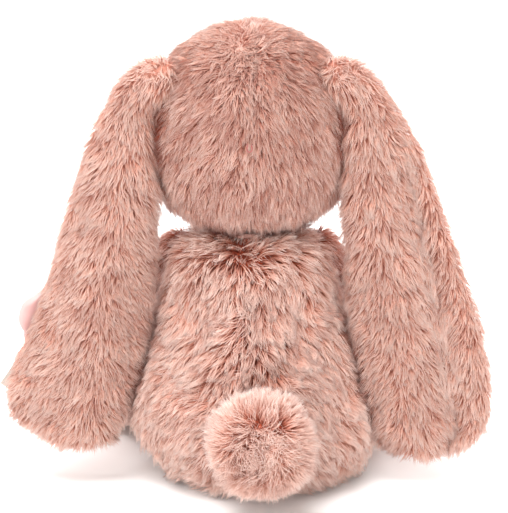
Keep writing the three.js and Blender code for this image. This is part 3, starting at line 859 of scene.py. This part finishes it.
def arm(name, side):
    """One arm's skin, with its pile along the arm from the shoulder to the paw."""
    node = f"arm_cover_{name}"
    low, high = box_of(node)
    inset = 0.018  # from the cover's ends to the middle of the paw
    hand = np.array([high[0] - inset if side > 0 else low[0] + inset, low[1] + inset, low[2] + inset])
    way = unit(hand - joint_at(f"arm_{name}_swing"))
    skin = soft_skin(f"arm_skin_{name}", [node, f"arm_stuffing_{name}"], voxel=0.002, inset=0.002)
    finish_piece(skin, f"arm_{name}", ROOT_SHADE_BACKING, [node])
    grow_pile(f"arm_fur_{name}", skin, f"arm_{name}", along_a_limb(way, -0.25),
              pile(13, spacing=0.94, width=0.5, clump=2.6, lean=1.12, beside=body_nodes),
              seed=ARM_SEEDS[name])


def leg(name):
    """One leg's skin, with its pile along the leg, and the smooth sole of its foot."""
    node = f"leg_cover_{name}"
    sole = f"foot_sole_{name}"
    sole_at = np.mean(box_of(sole), axis=0)
    way = unit((sole_at - joint_at(f"leg_{name}_lift")) * np.array([1, 1, 0]))
    skin = soft_skin(f"leg_skin_{name}", [node, f"leg_stuffing_{name}"], voxel=0.0025, inset=0.002)
    finish_piece(skin, f"leg_{name}", ROOT_SHADE_BACKING, [node])

    def off_the_sole(p, n):
        facing = (n * way).sum(1)
        ahead = ((p - sole_at) * way).sum(1)
        return (facing < 0.8) & ~((ahead > -0.004) & (facing > 0.55))

    grow_pile(f"leg_fur_{name}", skin, f"leg_{name}", along_a_limb(way, 0.15),
              pile(13, spacing=0.98, width=0.5, clump=2.6, lean=1.12, beside=body_nodes, grows=off_the_sole),
              seed=LEG_SEEDS[name])
    pad = soft_skin(f"foot_sole_skin_{name}", [sole], voxel=0.0013, inset=-0.0005, smoothing=6)
    finish_piece(pad, f"leg_{name}", LINING, [sole])


for name, side in SIDES.items():
    arm(name, side)
for name in SIDES:
    leg(name)

# ---- tail ----
tail_low, tail_high = box_of("tail_cover")
tail_at = (tail_low + tail_high) / 2
tail_skin = soft_skin("tail_skin", ["tail_cover", "tail_stuffing"], voxel=0.002, inset=0.0015)
finish_piece(tail_skin, "tail", ROOT_SHADE_BACKING, ["tail_cover"])
TAIL_AXIS = unit(np.array([0.05, 1.0, 0.25]))  # from the body to the middle of the tail's back


def tail_middle(n):
    """0 round the rim of the tail to 1 in the middle of its back."""
    return smooth_step(n @ TAIL_AXIS, 0.45, 0.9)


def tail_flow(p, n):
    """Outwards with a slight swirl round the rim, and whorls in the middle."""
    rim = -TAIL_AXIS + 0.35 * np.cross(n, TAIL_AXIS)
    middle = tail_middle(n)[:, None]
    return tangential(rim * (1 - middle) + middle * (whorls(p, 0.03, 62) - 0.5 * UP), n)


def tail_lean(p, n):
    """The pile stands up round the rim, and lies flatter in the middle."""
    return 0.42 + 0.5 * tail_middle(n)


def tail_jitter(p):
    """The tufts go every way in the middle."""
    return 0.25 + 0.9 * tail_middle(unit(p - tail_at))


grow_pile("tail_fur", tail_skin, "tail", tail_flow,
          pile(14, steps=LONG_STEPS, spacing=0.7, width=0.46, clump=2.2, tone=0.84, lean=tail_lean, wave=0.35,
               jitter=tail_jitter, grip=0.6, droop=0.0),
          seed=61)

# ---- neck ----
neck_skin = soft_skin("neck_skin", ["neck_stuffing"], voxel=0.002, inset=0.0002)
finish_piece(neck_skin, "neck", ROOT_SHADE_BACKING)
neck_at = np.mean(box_of("neck_stuffing"), axis=0)


def round_the_neck(p, n):
    """Pile grows only in the gap between the body and the head."""
    return np.abs(p[:, 2] - neck_at[2]) < 0.008


grow_pile("neck_fur", neck_skin, "neck", along_a_limb(-UP, 0.0),
          pile(9, spacing=1.1, clump=2.6, lean=0.5, grows=round_the_neck), seed=71)

# ---- carried CAD nodes ----
CARRIED = {
    FIBRE: ["head_stuffing", "body_stuffing", "neck_stuffing", "arm_stuffing_left", "arm_stuffing_right",
            "leg_stuffing_left", "leg_stuffing_right", "tail_stuffing"],
    POUCH: ["pellet_pouch"],
    THREAD: ["neck_stitching"],
    MOUTH: ["mouth_stitching"],
    WASHER: ["eye_washer_left", "eye_washer_right", "nose_washer"],
    EYE: ["eye_left", "eye_right"],
    NOSE: ["nose"],
}
for material, nodes in CARRIED.items():
    for node in nodes:
        data = frame["nodes"][node].data
        data.materials.clear()
        data.materials.append(material)

# ---- floor, light and camera ----
WORLD = (1.0, 0.91, 0.87, 1.0)
WORLD_STRENGTH = 0.9
FLOOR = (0.95, 0.945, 0.94, 1.0)
FLOOR_REACH = 60.0
SUN = {"place": (0.25, 0.3, 1.6), "energy": 3.3, "angle": math.radians(35)}
AREAS = {
    "key": {"place": (0.35, 1.2, 0.85), "energy": 11, "size": 1.0},
    "face": {"place": (-0.5, -1.3, 1.1), "energy": 22, "size": 1.2},
}
LIGHTS_AIM = (0, 0, 0.15)
CAMERA = {
    "lens": 87.6, "sensor": 36, "elevation": math.radians(15), "distance": 0.8, "aim": (-0.0026, 0, 0.146),
}


def place_towards(thing, place, aim):
    """Puts a light or a camera in the scene, facing a point."""
    thing.location = place
    thing.rotation_mode = "QUATERNION"
    thing.rotation_quaternion = (Vector(aim) - Vector(place)).to_track_quat("-Z", "Y")
    bpy.context.scene.collection.objects.link(thing)


def pale_floor():
    """A plain floor that reaches past the horizon of every view."""
    corners = [(x * FLOOR_REACH, y * FLOOR_REACH, 0) for x, y in ((-1, -1), (1, -1), (1, 1), (-1, 1))]
    mesh = bpy.data.meshes.new("floor")
    mesh.from_pydata(corners, [], [(0, 1, 2, 3)])
    floor = new_object("floor", mesh)
    material, _, shader = plain_material("pale_floor", 0.7)
    shader.inputs["Base Color"].default_value = FLOOR
    mesh.materials.append(material)


def lights():
    """A soft sun from above, a soft light from behind the object and one for its face."""
    sun = bpy.data.lights.new("overhead", "SUN")
    sun.energy = SUN["energy"]
    sun.angle = SUN["angle"]
    place_towards(bpy.data.objects.new("overhead", sun), SUN["place"], LIGHTS_AIM)
    for name, lamp in AREAS.items():
        light = bpy.data.lights.new(name, "AREA")
        light.energy = lamp["energy"]
        light.size = lamp["size"]
        place_towards(bpy.data.objects.new(name, light), lamp["place"], LIGHTS_AIM)


def camera():
    """From behind, and a little above the object."""
    data = bpy.data.cameras.new("camera")
    data.lens = CAMERA["lens"]
    data.sensor_width = CAMERA["sensor"]
    eye = bpy.data.objects.new("camera", data)
    away = Vector((0, math.cos(CAMERA["elevation"]), math.sin(CAMERA["elevation"])))
    place_towards(eye, Vector(CAMERA["aim"]) + away * CAMERA["distance"], CAMERA["aim"])
    bpy.context.scene.camera = eye


def studio():
    """The world, floor, lights and camera."""
    scene = bpy.context.scene
    scene.view_settings.view_transform = "Standard"
    world = bpy.data.worlds.new("studio")
    world.use_nodes = True
    background = world.node_tree.nodes["Background"].inputs
    background["Color"].default_value = WORLD
    background["Strength"].default_value = WORLD_STRENGTH
    scene.world = world
    pale_floor()
    lights()
    camera()


studio()
